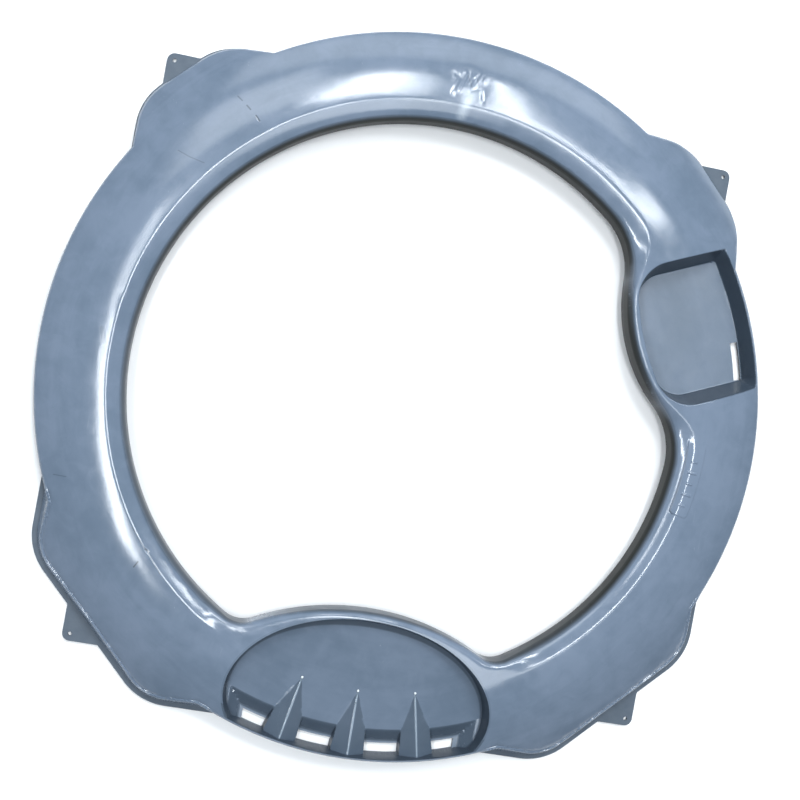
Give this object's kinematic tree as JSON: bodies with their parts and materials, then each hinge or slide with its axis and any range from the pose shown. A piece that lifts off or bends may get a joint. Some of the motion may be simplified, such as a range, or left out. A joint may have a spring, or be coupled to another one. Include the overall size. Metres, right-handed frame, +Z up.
{
  "type": "washer tub ring",
  "caption": "Moulded plastic ring that covers the rim of a top-loading washer's tub, with a slotted oval dispenser tray and a bleach pocket.",
  "frame": {"origin": "centre of the ring on the plane it rests on, the foot of its outer skirt", "axes": "+Z up out of the crown, -Y towards the dispenser tray, the bleach pocket 24 degrees from +X towards +Y"},
  "size_m": [0.56, 0.56, 0.0362],
  "materials": {
    "shell_plastic": "glossy blue-grey moulded polypropylene with faint flow marks, a shallow dent and light scratches"
  },
  "bodies": {
    "root": {"tub_ring": "shell_plastic"}
  },
  "joints": []
}
